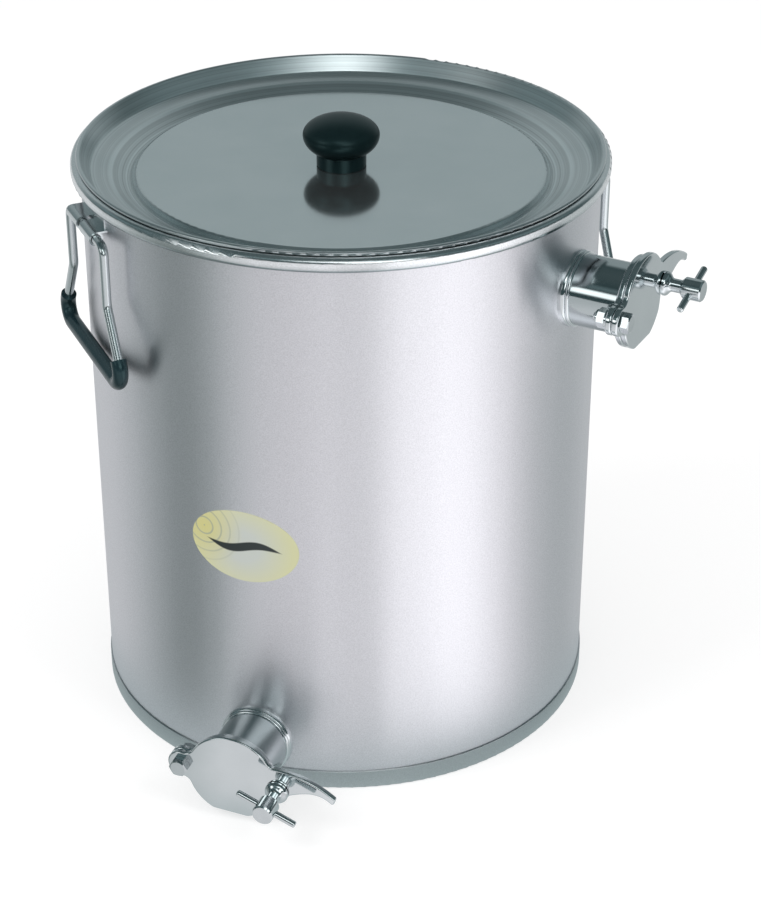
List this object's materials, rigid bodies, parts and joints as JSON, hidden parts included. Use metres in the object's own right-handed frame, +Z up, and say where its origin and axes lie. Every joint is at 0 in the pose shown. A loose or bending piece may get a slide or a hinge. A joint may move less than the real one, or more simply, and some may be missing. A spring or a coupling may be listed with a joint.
{
  "type": "honey bucket",
  "caption": "Round stainless bucket with a plug-in knobbed lid, drop handles on opposite sides and swing-blade honey gates, one at the base and one under the rim.",
  "frame": {"origin": "centre of the foot ring, on the plane that the bucket stands on", "axes": "+Z up along the bucket's axis; -Y out through the lower spout; the upper spout points 8.8 degrees from +X towards -Y"},
  "size_m": [0.373, 0.3702, 0.3636],
  "materials": {
    "satin_steel": "satin",
    "lid_steel": "bright",
    "polished_steel": "polished",
    "fastener_steel": "bright",
    "handle_steel": "satin",
    "knob_plastic": "matte",
    "grip_plastic": "gloss",
    "label_paper": "printed sticker"
  },
  "bodies": {
    "bucket": {"bucket_wall": "satin_steel", "base_pan": "satin_steel", "label": "label_paper", "left_handle_bracket": "handle_steel", "right_handle_bracket": "handle_steel", "lower_spout_tube": "polished_steel", "lower_spout_collar": "polished_steel", "lower_gate_plate": "polished_steel", "lower_pivot_bolt": "fastener_steel", "lower_pivot_washer": "fastener_steel", "lower_pivot_nut": "fastener_steel", "lower_clamp_nut": "fastener_steel", "upper_spout_tube": "polished_steel", "upper_spout_collar": "polished_steel", "upper_gate_plate": "polished_steel", "upper_pivot_bolt": "fastener_steel", "upper_pivot_washer": "fastener_steel", "upper_pivot_nut": "fastener_steel", "upper_clamp_nut": "fastener_steel"},
    "lid": {"lid_pan": "lid_steel", "lid_knob": "knob_plastic", "lid_knob_washer": "fastener_steel", "lid_knob_screw": "fastener_steel"},
    "left_handle": {"left_handle_bail": "handle_steel", "left_handle_grip": "grip_plastic"},
    "right_handle": {"right_handle_bail": "handle_steel", "right_handle_grip": "grip_plastic"},
    "lower_blade": {"lower_gate_blade": "polished_steel"},
    "lower_clamp": {"lower_clamp_screw": "fastener_steel", "lower_clamp_bar": "fastener_steel"},
    "upper_blade": {"upper_gate_blade": "polished_steel"},
    "upper_clamp": {"upper_clamp_screw": "fastener_steel", "upper_clamp_bar": "fastener_steel"}
  },
  "joints": [
    {"name": "lid_lift", "type": "slide", "parent": "bucket", "child": "lid", "axis": [0, 0, 1], "range_m": [0, 0.15]},
    {"name": "left_handle_swing", "type": "hinge", "parent": "bucket", "child": "left_handle", "pos_m": [-0.11351, -0.10585, 0.3234], "axis": [-0.682, 0.7314, 0], "range_deg": [0, 160]},
    {"name": "right_handle_swing", "type": "hinge", "parent": "bucket", "child": "right_handle", "pos_m": [0.11958, 0.09893, 0.3173], "axis": [0.6374, -0.7705, 0], "range_deg": [0, 160]},
    {"name": "lower_gate_open", "type": "hinge", "parent": "bucket", "child": "lower_blade", "pos_m": [-0.0306, -0.1895, 0.0326], "axis": [0, -1, 0], "range_deg": [0, 100]},
    {"name": "lower_clamp_turn", "type": "hinge", "parent": "bucket", "child": "lower_clamp", "pos_m": [0.0289, -0.1895, 0.0279], "axis": [0, -1, 0], "range_deg": [0, 360]},
    {"name": "upper_gate_open", "type": "hinge", "parent": "bucket", "child": "upper_blade", "pos_m": [0.18257, -0.05936, 0.29033], "axis": [0.9882, -0.153, 0], "range_deg": [0, 100]},
    {"name": "upper_clamp_turn", "type": "hinge", "parent": "bucket", "child": "upper_clamp", "pos_m": [0.1917, -0.00039, 0.28907], "axis": [0.9882, -0.153, 0], "range_deg": [0, 360]}
  ]
}
